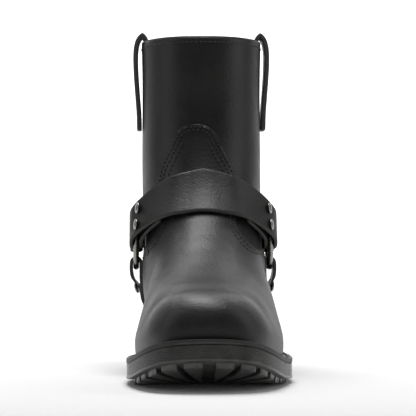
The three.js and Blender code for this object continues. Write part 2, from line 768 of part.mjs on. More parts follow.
const instep = loopStrap(153, instepStrapWidth, strapEndWidth, 0, instepStrapHeight, 1.6);
const heel = loopStrap(15, heelStrapWidth, heelStrapWidth - 2, Math.PI, 105, 1.6);
const sides = [
  { name: "inner", side: -1 },
  { name: "outer", side: 1 },
];

// Two domed rivets hold each strap where it has turned back. Each sits in a shallow pocket of the strap.
const rivetSink = 0.4;
function rivetPlaces(end) {
  const row = end.over[3];
  const share = rivetSpacing / row[0].at.distanceTo(row[3].at);
  const t = (share - laterals[2]) / (laterals[3] - laterals[2]);
  return [row.slice(0, 2).reverse(), row.slice(2)].map(([near, far]) => {
    const out = near.out.clone().lerp(far.out, t).normalize();
    const at = near.at.clone().lerp(far.at, t).addScaledVector(out, strapThickness / 2 - rivetSink);
    return { at, out };
  });
}
function turnedAlong(geometry, { at, out }) {
  geometry.applyQuaternion(new THREE.Quaternion().setFromUnitVectors(new THREE.Vector3(0, 1, 0), out));
  geometry.translate(...at.toArray());
  return solidFrom(geometry);
}
function rivetSolid(place) {
  const profile = [
    new THREE.Vector2(0, 0),
    new THREE.Vector2(rivetHead / 2, 0),
    new THREE.Vector2(rivetHead / 2, 0.9),
    new THREE.Vector2(rivetHead * 0.34, rivetDome * 0.9),
    new THREE.Vector2(0, rivetDome + rivetSink),
  ];
  return turnedAlong(new THREE.LatheGeometry(profile, 12), place);
}
function rivetedStrap(name, stations, ends) {
  let solid = solidFrom(strip(stations, strapThickness));
  if (solid.volume() < 0) solid = solidFrom(flipped(strip(stations, strapThickness)));
  for (const { label, end } of ends) {
    for (const [i, place] of rivetPlaces(end).entries()) {
      const radius = rivetHead / 2 + 0.15;
      const pocket = new THREE.CylinderGeometry(radius, radius, 6, 12).translate(0, 3 - pieceGap, 0);
      solid = solid.subtract(turnedAlong(pocket, place));
      add(`rivet_${label}_${i + 1}`, geometryFrom(rivetSolid(place)), nickel);
    }
  }
  add(name, geometryFrom(solid), black);
}
function bothEnds(strap, label) {
  return strap.ends.map(({ end }, i) => ({ label: `${label}_${sides[i].name}`, end }));
}
rivetedStrap("instep_strap", instep.stations, bothEnds(instep, "instep"));
rivetedStrap("heel_strap", heel.stations, bothEnds(heel, "heel"));

// The lower straps run from the rings down to the welt at the waist of the boot.
const lowerEnds = sides.map(({ side }) => {
  const path = (s, v, width) => {
    const z = ringHeight - foldFrom(lowerStrapWidth) - s;
    const y = ringAlong + (v * width) / 2;
    const out = normalOf((a, b) => onSide(side, a, b), y, z, 2, 1.5).multiplyScalar(side);
    return { at: onSide(side, y, z), out };
  };
  return { side, path, end: foldedEnd(side, 270, () => lowerStrapWidth, path, 4, 11) };
});
for (const [i, { name, side }] of sides.entries()) {
  const { end, path } = lowerEnds[i];
  const bottom = ringHeight - ringRadius - weltTop(ringAlong + lowerStrapWidth / 2) - 2;
  const rest = [44, bottom].filter((s) => s <= bottom).map((s) =>
    laterals.map((v) => {
      const { at, out } = path(s, v, lowerStrapWidth);
      return { at: at.addScaledVector(out, snug), out };
    }),
  );
  const stations = [...rest.reverse(), ...end.over.slice().reverse(), ...end.bend, ...end.under];
  rivetedStrap(`lower_strap_${name}`, stations, [{ label: `lower_${name}`, end }]);
  const ring = new THREE.TorusGeometry(ringRadius, ringWire / 2, 8, 28);
  ring.rotateY(Math.PI / 2);
  ring.translate(ringAcross(side), ringAlong, ringHeight);
  add(`ring_${name}`, ring, nickel);
}

// The pull loops stand over the top edge at both side seams.
const pullPath = [
  { out: 2, up: -pullDrop, turn: 0 },
  { out: 2.2, up: -pullDrop * 0.82, turn: 0 },
  { out: pullStandOff * 0.95, up: -pullDrop * 0.6, turn: 4 },
  { out: pullStandOff + 0.9, up: -pullDrop * 0.32, turn: 3 },
  { out: pullStandOff + 0.9, up: -pullDrop * 0.12, turn: -4 },
  { out: pullStandOff + 0.1, up: -1, turn: -12 },
  { out: pullStandOff - 1.6, up: pullRise * 0.55, turn: -40 },
  { out: -0.8, up: pullRise - pullThickness / 2, turn: -90 },
  { out: -3.6, up: pullRise * 0.5, turn: -140 },
  { out: -4.8, up: -3, turn: -172 },
  { out: -4.8, up: -pullDrop * 0.3, turn: -180 },
  { out: -4.8, up: -pullDrop * 0.62, turn: -180 },
];
for (const { name, side } of sides) {
  const y = shaftFront + shaftDepth / 2;
  const stations = pullPath.map(({ out, up, turn }) => {
    const z = shaftHeight + up;
    const x = reach(side, y, Math.min(z, shaftHeight)) + out;
    const angle = (turn * Math.PI) / 180;
    const outward = new THREE.Vector3(side * Math.cos(angle), 0, -Math.sin(angle));
    return laterals.map((v) => ({
      at: new THREE.Vector3(side * x, y + (v * pullWidth) / 2, z),
      out: outward,
    }));
  });
  add(`pull_loop_${name}`, asBody(strip(stations, pullThickness)), black);
}

const box = new THREE.Box3().setFromObject(boot);
const shift = new THREE.Vector3(-(box.min.x + box.max.x) / 2, -(box.min.y + box.max.y) / 2, -box.min.z);
for (const mesh of boot.children) mesh.geometry.translate(shift.x, shift.y, shift.z);

export default boot;
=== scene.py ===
import math

import bmesh
import bpy
from mathutils import Matrix, Vector
from mathutils.bvhtree import BVHTree


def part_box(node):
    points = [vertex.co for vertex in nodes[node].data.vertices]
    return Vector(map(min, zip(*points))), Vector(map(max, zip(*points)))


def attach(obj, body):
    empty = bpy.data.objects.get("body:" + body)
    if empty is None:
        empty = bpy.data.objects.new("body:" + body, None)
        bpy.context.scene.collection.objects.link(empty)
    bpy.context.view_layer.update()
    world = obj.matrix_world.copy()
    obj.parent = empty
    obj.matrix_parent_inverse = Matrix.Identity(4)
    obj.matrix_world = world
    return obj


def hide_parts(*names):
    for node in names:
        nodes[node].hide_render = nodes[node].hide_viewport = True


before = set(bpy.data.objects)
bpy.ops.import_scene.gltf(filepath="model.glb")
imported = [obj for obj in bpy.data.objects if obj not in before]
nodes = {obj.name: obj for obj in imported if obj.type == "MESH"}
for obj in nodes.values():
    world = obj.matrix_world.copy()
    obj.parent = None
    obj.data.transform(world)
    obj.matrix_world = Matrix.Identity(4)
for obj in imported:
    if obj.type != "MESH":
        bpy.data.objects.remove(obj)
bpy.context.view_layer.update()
print("frame loaded")

# Sizes are in mm. x is measured from the boot's middle plane, y from the tip of the sole, z from the floor.
# The toe points to -Y, and +X is the outer side of the left foot.
mm = 0.001
middleX = (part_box("pull_loop_inner")[0].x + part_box("pull_loop_outer")[1].x) / 2
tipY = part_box("outsole")[0].y


def place(x, y, z):
    return Vector((middleX + x * mm, tipY + y * mm, z * mm))


def lerp(a, b, t):
    return a + (b - a) * t


def ease(t):
    t = min(1, max(0, t))
    return t * t * (3 - 2 * t)


# Camera, floor and lights
cameraSettings = {
    "toe": 10,
    "fromToe": 1195,
    "right": 0.6,
    "height": 100,
    "turn": 1.52,
    "lens": 164.8,
    "sensor": 36,
    "shiftY": 26 / 416,
    "clip": (0.05, 30),
}


def addCamera():
    turn = math.radians(cameraSettings["turn"])
    forward = Vector((math.sin(turn), math.cos(turn), 0))
    right = Vector((math.cos(turn), -math.sin(turn), 0))
    toe = place(0, cameraSettings["toe"], cameraSettings["height"])
    data = bpy.data.cameras.new("camera")
    data.lens, data.sensor_width = cameraSettings["lens"], cameraSettings["sensor"]
    data.shift_y = cameraSettings["shiftY"]
    data.clip_start, data.clip_end = cameraSettings["clip"]
    camera = bpy.data.objects.new("camera", data)
    camera.location = toe - right * cameraSettings["right"] * mm - forward * cameraSettings["fromToe"] * mm
    camera.rotation_euler = (math.radians(90), 0, -turn)
    bpy.context.collection.objects.link(camera)
    bpy.context.scene.camera = camera


def hexColour(value):
    parts = [int(value[i : i + 2], 16) / 255 for i in (1, 3, 5)]
    return [p / 12.92 if p <= 0.04045 else ((p + 0.055) / 1.055) ** 2.4 for p in parts] + [1]


# Settings are the node's inputs and own properties; a ramp's stops are hex colours or shades of grey.
# The node's first output goes to the socket that it feeds.
def addNode(tree, kind, settings=None, links=None, feeds=None):
    node = tree.nodes.new("ShaderNode" + kind)
    for key, value in (settings or {}).items():
        if key == "stops":
            for element, (at, shade) in zip(node.color_ramp.elements, value):
                element.position = at
                element.color = hexColour(shade) if isinstance(shade, str) else (shade, shade, shade, 1)
        elif isinstance(key, int) or key in node.inputs:
            node.inputs[key].default_value = value
        else:
            setattr(node, key, value)
    for key, source in (links or {}).items():
        tree.links.new(source, node.inputs[key])
    if feeds:
        tree.links.new(node.outputs[0], feeds)
    return node


def newMaterial(name, settings):
    material = bpy.data.materials.new(name)
    material.use_nodes = True
    tree = material.node_tree
    tree.nodes.clear()
    shader = addNode(tree, "BsdfPrincipled", settings)
    addNode(tree, "OutputMaterial", {}, {0: shader.outputs[0]})
    coords = addNode(tree, "TexCoord").outputs["Object"]
    return material, tree, shader.inputs, coords


# Each lamp has a place, a target, a width, a height and its watts
studio = {
    "floor": "#fbfbfb",
    "floorSize": 5,
    "wallLean": 0.3,
    "world": 0.13,
    "lamps": {
        "topLight": ((-0.05, 0.1, 1.4), (0.0, 0.0, 0.1), 0.5, 1.1, 20),
        "leftLight": ((-1.2, -0.1, 0.7), (0, 0, 0.12), 0.8, 1.2, 2.6),
        "rightLight": ((1.2, -0.1, 0.7), (0, 0, 0.12), 0.8, 1.2, 3.8),
        "frontLight": ((-0.2, -1.9, 1.7), (0, 0, 0.1), 1.2, 0.8, 1.4),
        "backLight": ((0.0, 1.5, 1.8), (0, 2.4, 0.4), 2.5, 1.2, 60),
    },
}


def addStudio():
    world = bpy.data.worlds.new("studio")
    world.use_nodes = True
    background = world.node_tree.nodes["Background"]
    background.inputs[0].default_value = (1, 1, 1, 1)
    background.inputs[1].default_value = studio["world"]
    bpy.context.scene.world = world
    bpy.context.scene.view_settings.view_transform = "Standard"
    size = studio["floorSize"]
    bm = bmesh.new()
    bmesh.ops.create_grid(bm, x_segments=1, y_segments=1, size=size)
    bmesh.ops.translate(bm, verts=bm.verts, vec=(0, -size / 2, 0))
    edges = [e for e in bm.edges if all(v.co.y > 2 for v in e.verts)]
    wall = vertsIn(bmesh.ops.extrude_edge_only(bm, edges=edges))
    bmesh.ops.translate(bm, verts=wall, vec=(0, studio["wallLean"], size))
    settings = {"Base Color": hexColour(studio["floor"]), "Roughness": 0.9}
    newObject(bm, "floor", newMaterial("matt studio paper", settings)[0])
    for name, (at, target, wide, high, power) in studio["lamps"].items():
        light = bpy.data.lights.new(name, "AREA")
        light.shape, light.size, light.size_y, light.energy = "RECTANGLE", wide, high, power
        lamp = bpy.data.objects.new(name, light)
        lamp.location = at
        lamp.rotation_euler = (Vector(target) - Vector(at)).to_track_quat("-Z", "Y").to_euler()
        bpy.context.collection.objects.link(lamp)


# Mesh helpers
def newObject(bm, name, *materials):
    mesh = bpy.data.meshes.new(name)
    bm.to_mesh(mesh)
    bm.free()
    mesh.shade_smooth()
    piece = bpy.data.objects.new(name, mesh)
    bpy.context.collection.objects.link(piece)
    for material in materials:
        mesh.materials.append(material)
    return piece


# Shows edges sharper than the angle as edges, on moulded and cut pieces
def crisp(piece, angle=38):
    piece.data.set_sharp_from_angle(angle=math.radians(angle))
    return piece


def meshOf(source):
    bm = bmesh.new()
    bm.from_mesh(source.data)
    return bm


def mergedNode(name):
    bm = meshOf(nodes[name])
    bmesh.ops.remove_doubles(bm, verts=bm.verts, dist=0.01 * mm)
    return bm


def vertsIn(result):
    return [g for g in result["geom"] if isinstance(g, bmesh.types.BMVert)]


def edgesIn(result):
    return [g for g in result["geom"] if isinstance(g, bmesh.types.BMEdge)]


def quads(bm):
    bmesh.ops.join_triangles(
        bm,
        faces=bm.faces,
        cmp_seam=False,
        cmp_sharp=False,
        cmp_uvs=False,
        cmp_vcols=False,
        cmp_materials=False,
        angle_face_threshold=math.radians(50),
        angle_shape_threshold=math.radians(80),
    )


def applied(piece):
    graph = bpy.context.evaluated_depsgraph_get()
    mesh = bpy.data.meshes.new_from_object(piece.evaluated_get(graph))
    piece.modifiers.clear()
    old = piece.data
    piece.data = mesh
    bpy.data.meshes.remove(old)
    mesh.name = piece.name
    return piece


def withModifier(piece, kind, **settings):
    modifier = piece.modifiers.new(kind, kind)
    for key, value in settings.items():
        setattr(modifier, key, value)
    return applied(piece)


def subdivided(piece, levels):
    return withModifier(piece, "SUBSURF", levels=levels, render_levels=levels)


def booleaned(piece, other, operation):
    settings = {"operation": operation, "object": other, "solver": "EXACT", "material_mode": "TRANSFER"}
    withModifier(piece, "BOOLEAN", **settings)
    mesh = other.data
    bpy.data.objects.remove(other)
    bpy.data.meshes.remove(mesh)
    return piece


def done(piece, slot, *replaced, body="boot"):
    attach(piece, body)
    if replaced:
        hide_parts(*replaced)
    return piece


def treeOf(piece):
    bm = meshOf(piece)
    tree = BVHTree.FromBMesh(bm)
    bm.free()
    return tree


# A smooth curve through the points, at evenly spaced places
def smoothLine(points, count, closed=False):
    points = [Vector(p) for p in points]
    n = len(points)
    fine = []
    for i in range(n if closed else n - 1):
        near = [(i + k) % n if closed else min(max(i + k, 0), n - 1) for k in (-1, 0, 1, 2)]
        a, b, c, d = [points[k] for k in near]
        for j in range(12):
            t = j / 12
            cubic = 2 * b + (c - a) * t + (2 * a - 5 * b + 4 * c - d) * t * t
            fine.append((cubic + (3 * b - a - 3 * c + d) * t**3) / 2)
    fine.append(points[0] if closed else points[-1])
    along = [0]
    for p, q in zip(fine, fine[1:]):
        along.append(along[-1] + (q - p).length)
    line = []
    i = 0
    for k in range(count):
        wanted = along[-1] * k / (count if closed else count - 1)
        while i < len(fine) - 2 and along[i + 1] < wanted:
            i += 1
        line.append(fine[i].lerp(fine[i + 1], (wanted - along[i]) / max(1e-9, along[i + 1] - along[i])))
    return line


# A flat outline as a closed solid from low to high, along the boot ("y") or across it ("x")
def prism(name, points, axis, low, high, *materials):
    bm = bmesh.new()
    bmesh.ops.create_circle(bm, cap_ends=True, segments=len(points), radius=1)
    for vert, point in zip(bm.verts, points):
        vert.co = place(point[0], low, point[1]) if axis == "y" else place(low, point[0], point[1])
    far = vertsIn(bmesh.ops.extrude_face_region(bm, geom=bm.faces[:]))
    step = (high - low) * mm
    bmesh.ops.translate(bm, verts=far, vec=(0, step, 0) if axis == "y" else (step, 0, 0))
    bmesh.ops.recalc_face_normals(bm, faces=bm.faces)
    return newObject(bm, name, *materials)


# A monotone curve through the rows of a short table
def through(rows, column):
    x = [row[0] for row in rows]
    y = [row[column] for row in rows]
    slope = [(y[i + 1] - y[i]) / (x[i + 1] - x[i]) for i in range(len(x) - 1)]
    middle = [0 if a * b <= 0 else 2 * a * b / (a + b) for a, b in zip(slope, slope[1:])]
    tangent = [slope[0]] + middle + [slope[-1]]

    def value(at):
        at = min(x[-1], max(x[0], at))
        i = max(k for k in range(len(x) - 1) if k == 0 or x[k] <= at)
        h = x[i + 1] - x[i]
        t = (at - x[i]) / h
        ends = y[i] * (2 * t**3 - 3 * t**2 + 1) + y[i + 1] * (3 * t**2 - 2 * t**3)
        return ends + tangent[i] * h * (t**3 - 2 * t**2 + t) + tangent[i + 1] * h * (t**3 - t**2)

    return value


# Materials
def blackLeather():
    # Full-grain cowhide, drum-dyed black and waxed: fine pebbled pores and a cloudy sheen. The pores of
    # cowhide are 0.3 mm apart: they are drawn 1.6 mm apart so that they show. The streaks lie level, as
    # the stretch marks of a lasted hide do.
    settings = {"IOR": 1.5, "Specular IOR Level": 0.36, "Coat Weight": 0.08, "Coat Roughness": 0.35}
    material, tree, inputs, coords = newMaterial("full-grain leather dyed and waxed", settings)
    cloud = addNode(tree, "TexNoise", {"Scale": 28, "Detail": 4, "Roughness": 0.6}, {"Vector": coords})
    level = addNode(tree, "Mapping", {"Scale": (1, 1, 3.5)}, {"Vector": coords})
    streakSettings = {"Scale": 140, "Detail": 4, "Roughness": 0.65}
    streak = addNode(tree, "TexNoise", streakSettings, {"Vector": level.outputs[0]})
    pores = addNode(tree, "TexVoronoi", {"feature": "SMOOTH_F1", "Scale": 620}, {"Vector": coords})
    both = {0: streak.outputs[0], 2: cloud.outputs[0]}
    tone = addNode(tree, "Math", {"operation": "MULTIPLY_ADD", 1: 0.35}, both).outputs[0]
    dye, gloss = [(0.45, "#0f0f0e"), (0.9, "#1b1b1a")], [(0.45, 0.4), (0.95, 0.56)]
    addNode(tree, "ValToRGB", {"stops": dye}, {0: tone}, inputs["Base Color"])
    addNode(tree, "ValToRGB", {"stops": gloss}, {0: tone}, inputs["Roughness"])
    fine = addNode(tree, "Bump", {"Strength": 0.3, "Distance": 0.0004}, {"Height": pores.outputs[0]})
    relief = {"Height": tone, "Normal": fine.outputs[0]}
    addNode(tree, "Bump", {"Strength": 0.32, "Distance": 0.0012}, relief, inputs["Normal"])
    return material


def cutEdgeWithPaintedHighlight():
    # The cut edge of dyed leather, burnished, with fine fibres: duller than the grain side. Its lighter
    # colour is partly the burnished edge and partly a painted highlight, the light line that the cut edges
    # catch from the lamps above.
    settings = {"Roughness": 0.6, "IOR": 1.5}
    material, tree, inputs, coords = newMaterial("cut leather edge burnished with painted highlight", settings)
    fibres = addNode(tree, "TexNoise", {"Scale": 1600, "Detail": 3}, {"Vector": coords}).outputs[0]
    # The lighter stop is partly painted highlight along the cut edges.
    dye = [(0.3, "#2e2d2b"), (0.7, "#474542")]
    addNode(tree, "ValToRGB", {"stops": dye}, {0: fibres}, inputs["Base Color"])
    addNode(tree, "Bump", {"Strength": 0.3, "Distance": 0.0002}, {"Height": fibres}, inputs["Normal"])
    return material


def insoleLeather():
    # Vegetable-tanned leather, rolled: flat brown with soft darker clouds and a dry surface.
    settings = {"Roughness": 0.7, "IOR": 1.45}
    material, tree, inputs, coords = newMaterial("vegetable-tanned leather rolled", settings)
    cloud = addNode(tree, "TexNoise", {"Scale": 45, "Detail": 5}, {"Vector": coords}).outputs[0]
    tan = [(0.3, "#5e4733"), (0.7, "#7b6046")]
    addNode(tree, "ValToRGB", {"stops": tan}, {0: cloud}, inputs["Base Color"])
    fibres = addNode(tree, "TexNoise", {"Scale": 1300, "Detail": 2}, {"Vector": coords}).outputs[0]
    addNode(tree, "Bump", {"Strength": 0.2, "Distance": 0.0002}, {"Height": fibres}, inputs["Normal"])
    return material


def weltLeather():
    # Bend leather, dyed black and edge-trimmed: matt, faintly streaked by the trimming knife.
    settings = {"Roughness": 0.55, "IOR": 1.5}
    material, tree, inputs, coords = newMaterial("bend leather dyed and trimmed", settings)
    stretch = addNode(tree, "Mapping", {"Scale": (1, 1, 6)}, {"Vector": coords}).outputs[0]
    streaks = addNode(tree, "TexNoise", {"Scale": 500, "Detail": 4}, {"Vector": stretch}).outputs[0]
    dye = [(0.3, "#1d1d1c"), (0.75, "#302f2d")]
    addNode(tree, "ValToRGB", {"stops": dye}, {0: streaks}, inputs["Base Color"])
    addNode(tree, "Bump", {"Strength": 0.3, "Distance": 0.0002}, {"Height": streaks}, inputs["Normal"])
    return material


def soleRubber():
    # Vulcanised rubber, pressed in a mould: dark grey, half-matt, with a faint dusty mottling.
    material, tree, inputs, coords = newMaterial("vulcanised rubber moulded", {"IOR": 1.52})
    mottling = {"Scale": 90, "Detail": 6, "Roughness": 0.65}
    mottle = addNode(tree, "TexNoise", mottling, {"Vector": coords}).outputs[0]
    grey, gloss = [(0.3, "#2c2c2b"), (0.72, "#484846")], [(0.3, 0.28), (0.7, 0.42)]
    addNode(tree, "ValToRGB", {"stops": grey}, {0: mottle}, inputs["Base Color"])
    addNode(tree, "ValToRGB", {"stops": gloss}, {0: mottle}, inputs["Roughness"])
    skin = addNode(tree, "TexNoise", {"Scale": 1400, "Detail": 2}, {"Vector": coords}).outputs[0]
    addNode(tree, "Bump", {"Strength": 0.2, "Distance": 0.0002}, {"Height": skin}, inputs["Normal"])
    return material


def heelStack():
    # Heel lifts of sole leather, stacked and stained black: thin level lines where the lifts meet.
    settings = {"Roughness": 0.5, "IOR": 1.5}
    material, tree, inputs, coords = newMaterial("stacked sole leather stained", settings)
    stretch = addNode(tree, "Mapping", {"Scale": (0.15, 0.15, 1)}, {"Vector": coords}).outputs[0]
    layers = addNode(tree, "TexNoise", {"Scale": 1100, "Detail": 3}, {"Vector": stretch}).outputs[0]
    stain = [(0.35, "#191817"), (0.7, "#2c2a28")]
    addNode(tree, "ValToRGB", {"stops": stain}, {0: layers}, inputs["Base Color"])
    addNode(tree, "Bump", {"Strength": 0.35, "Distance": 0.0002}, {"Height": layers}, inputs["Normal"])
    return material


def nickel():
    # Steel, nickel plated and polished: bright, slightly warm, with fine wear scratches.
    material, tree, inputs, coords = newMaterial("nickel plated and polished steel", {"Metallic": 1})
    scratches = {"Scale": 700, "Detail": 5, "Roughness": 0.7}
    wear = addNode(tree, "TexNoise", scratches, {"Vector": coords}).outputs[0]
    plate, gloss = [(0.3, "#817f7b"), (0.7, "#9f9d99")], [(0.35, 0.18), (0.7, 0.4)]
    addNode(tree, "ValToRGB", {"stops": plate}, {0: wear}, inputs["Base Color"])
    addNode(tree, "ValToRGB", {"stops": gloss}, {0: wear}, inputs["Roughness"])
    return material


def thread():
    # Bonded polyester thread, twisted and waxed: black with a dull gloss along each stitch.
    settings = {"Roughness": 0.5, "IOR": 1.5}
    material, tree, inputs, coords = newMaterial("bonded polyester thread waxed", settings)
    twist = addNode(tree, "TexNoise", {"Scale": 1800, "Detail": 2}, {"Vector": coords}).outputs[0]
    dye = [(0.35, "#090909"), (0.7, "#161616")]
    addNode(tree, "ValToRGB", {"stops": dye}, {0: twist}, inputs["Base Color"])
    return material


addCamera()
addStudio()
leather, cut, insoleFinish, weltFinish = blackLeather(), cutEdgeWithPaintedHighlight(), insoleLeather(), weltLeather()
rubber, stackFinish, metal, threadFinish = soleRubber(), heelStack(), nickel(), thread()
print("studio and materials ready")

# The upper: the outer side of its solid is smoothed and given its wall again
upperSettings = {"levels": 2, "wall": 2.4, "edgeAngle": 50}


def outerSheet():
    bm = mergedNode("upper")
    quads(bm)
    bm.faces.ensure_lookup_table()
    start = max(bm.faces, key=lambda f: f.calc_center_median().x)
    reached, queue = {start}, [start]
    turn = math.radians(upperSettings["edgeAngle"])
    while queue:
        face = queue.pop()
        for edge in face.edges:
            for other in edge.link_faces:
                if other not in reached and edge.calc_face_angle(0) < turn:
                    reached.add(other)
                    queue.append(other)
    bmesh.ops.delete(bm, geom=[f for f in bm.faces if f not in reached], context="FACES")
    return subdivided(newObject(bm, "sheet", leather), upperSettings["levels"])


sheet = outerSheet()
sheetMesh = meshOf(sheet)


# Soft troughs across the vamp, square to the surface: the dip behind the toe cap and folds over the ball
creases = [
    {"at": 41, "bow": 10, "depth": 1.1, "width": 7.5, "span": 38, "side": 0},
    {"at": 104, "bow": -8, "depth": 0.16, "width": 4.0, "span": 32, "side": 3},
    {"at": 117, "bow": -5, "depth": 0.14, "width": 3.4, "span": 28, "side": -3},
]


# Behind this place there are none. They fade where the surface turns level less than "full", and each has
# a low lip on both sides, at a number of widths from its middle.
creaseSettings = {"behind": 140, "flat": 0.05, "full": 0.4, "lip": 0.35, "lipAt": 1.7}


def addCreases(bm):
    bm.normal_update()
    moves = []
    for vert in bm.verts:
        x, y, z = [c / mm for c in vert.co - place(0, 0, 0)]
        if y > creaseSettings["behind"] or vert.normal.z < creaseSettings["flat"]:
            continue
        depth = 0
        for crease in creases:
            across = (x - crease["side"]) / crease["span"]
            away = (y - crease["at"] - crease["bow"] * across**2) / crease["width"]
            fade = math.exp(-(across**4)) * ease(vert.normal.z / creaseSettings["full"])
            lip = creaseSettings["lip"] * math.exp(-((abs(away) - creaseSettings["lipAt"]) ** 2))
            depth += crease["depth"] * fade * (math.exp(-(away**2)) - lip)
        moves.append((vert, vert.normal * depth * mm))
    for vert, move in moves:
        vert.co -= move


addCreases(sheetMesh)


def shellFromSheet(name, offset, thickness, material):
    bm = sheetMesh.copy()
    bm.normal_update()
    moves = [(v, v.normal * offset * mm) for v in bm.verts]
    for vert, move in moves:
        vert.co += move
    # The shell's rim takes the cut-edge material, which is lighter partly as a painted highlight.
    piece = newObject(bm, name, material, cut)
    settings = {"offset": 1, "use_even_offset": True, "material_offset_rim": 1}
    return withModifier(piece, "SOLIDIFY", thickness=thickness * mm, **settings)


upper = shellFromSheet("upper_leather", -upperSettings["wall"], upperSettings["wall"], leather)
done(upper, "black_leather", "upper")
print("upper ready")

# The vamp and the heel counter: a shell over the upper, cut along smooth outlines
vampSettings = {"gap": 0.25, "thickness": 1.5}
tongueOutline = [
    (-52, 90), (-46, 90), (-42, 90.5), (-39, 93), (-36.3, 97), (-33.5, 102), (-31.8, 108),
    (-31.5, 118), (-32.5, 138), (-31, 146), (-26, 157), (-20.5, 168.5), (-17.5, 173.5),
    (-13, 176.6), (-5, 177.8), (2.5, 176.6), (7, 173.5), (10, 168.5), (15.8, 157), (21.5, 146),
    (23.8, 138), (22.5, 118), (22, 110), (23.7, 104), (27, 98.5), (31, 94), (35, 91.3), (39, 90.2),
    (44, 90), (50, 90),
]
vampSide = [
    (-20, 90), (120, 90), (155, 89.5), (170, 86), (181, 72), (189, 52), (194, 34), (197, 18),
    (198, 0),
]
counterSide = [
    (213, 0), (213, 30), (216, 50), (224, 69), (237, 85), (256, 94), (280, 98), (330, 100),
]


def vampPiece():
    shell = shellFromSheet("vamp_leather", vampSettings["gap"], vampSettings["thickness"], leather)
    tongue = smoothLine([(x, z, 0) for x, z in tongueOutline], 120)
    # The cutter passes the cut-edge material, with its painted highlight, to the vamp's cut edges.
    cutter = prism("cutter", [(p.x, p.y) for p in tongue] + [(50, 80), (-52, 80)], "y", -30, 171, cut)
    side = smoothLine([(y, z, 0) for y, z in vampSide], 90)
    lower = prism("lower", [(p.x, p.y) for p in side] + [(-20, 0)], "x", -90, 90, cut)
    booleaned(cutter, lower, "UNION")
    return booleaned(shell, cutter, "INTERSECT")


def counterPiece():
    shell = shellFromSheet("counter_leather", vampSettings["gap"], vampSettings["thickness"], leather)
    side = smoothLine([(y, z, 0) for y, z in counterSide], 90)
    # The cutter passes the cut-edge material, with its painted highlight, to the counter's cut edges.
    cutter = prism("cutter", [(p.x, p.y) for p in side] + [(330, 0)], "x", -90, 90, cut)
    return booleaned(shell, cutter, "INTERSECT")


vamp = done(vampPiece(), "black_leather", "vamp")
counter = done(counterPiece(), "black_leather", "heel_counter")
print("vamp and counter ready")


# Straps and pull loops: the solid's own strip, without the rivet pockets, smoothed along its length
strapSettings = {
    "levels": 3,
    "edgeAngle": 48,
    "crease": 0.55,
    "pocket": 4.5,
    "edge": 2.7,
    "loopPlump": 0.55,
}
strapNames = [n for n in nodes if n.endswith("_strap") or n.startswith(("lower_strap_", "pull_loop_"))]
rivetNames = [n for n in nodes if n.startswith("rivet_")]


def strapPiece(name):
    bm = mergedNode(name)
    for rivet in rivetNames:
        low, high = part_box(rivet)
        centre = (low + high) / 2
        near = [v for v in bm.verts if (v.co - centre).length < strapSettings["pocket"] * mm]
        if near:
            bmesh.ops.dissolve_verts(bm, verts=near)
    quads(bm)
    turn = math.radians(strapSettings["edgeAngle"])
    # The cut edges get the cut-edge material, which is lighter partly as a painted highlight along them.
    for face in bm.faces:  # the cut edges are the narrow faces beside a sharp edge
        across = [e.calc_length() for e in face.edges if e.calc_face_angle(0) < turn]
        reach = min if len(face.edges) == 3 else max
        if len(across) < len(face.edges) and reach(across, default=1) < strapSettings["edge"] * mm:
            face.material_index = 1
    crease = bm.edges.layers.float.new("crease_edge")
    for edge in bm.edges:
        if edge.calc_face_angle(0) > turn:
            edge[crease] = strapSettings["crease"]
    piece = subdivided(newObject(bm, name + "_leather", leather, cut), strapSettings["levels"])
    if name.startswith("pull_loop"):
        for vert, normal in [(v, v.normal.copy()) for v in piece.data.vertices]:
            vert.co += normal * strapSettings["loopPlump"] * mm
    return done(piece, "black_leather", name)


for name in strapNames:
    strapPiece(name)
print("straps and pull loops ready")

# Rings of round wire
ringSettings = {"radius": 19, "wire": 4, "around": 72, "section": 18}


def ringPiece(node):
    low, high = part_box(node)
    quarter, wire = math.radians(90), ringSettings["wire"] / 2 * mm
    square = Matrix.Rotation(quarter, 3, "Z") @ Matrix.Rotation(quarter, 3, "Y")
    bm = bmesh.new()
    bmesh.ops.create_circle(bm, cap_ends=False, segments=ringSettings["section"], radius=wire)
    bmesh.ops.rotate(bm, verts=bm.verts, cent=(0, 0, 0), matrix=square)
    bmesh.ops.translate(bm, verts=bm.verts, vec=(0, 0, ringSettings["radius"] * mm))
    bmesh.ops.spin(
        bm,
        geom=bm.verts[:] + bm.edges[:],
        cent=(0, 0, 0),
        axis=(1, 0, 0),
        angle=math.tau,
        steps=ringSettings["around"],
        use_merge=True,
    )
    bmesh.ops.remove_doubles(bm, verts=bm.verts, dist=0.01 * mm)
    bmesh.ops.recalc_face_normals(bm, faces=bm.faces)
    bmesh.ops.translate(bm, verts=bm.verts, vec=(low + high) / 2)
    return newObject(bm, node + "_metal", metal)


done(ringPiece("ring_inner"), "nickel", "ring_inner", body="inner_ring")
done(ringPiece("ring_outer"), "nickel", "ring_outer", body="outer_ring")
print("rings ready")


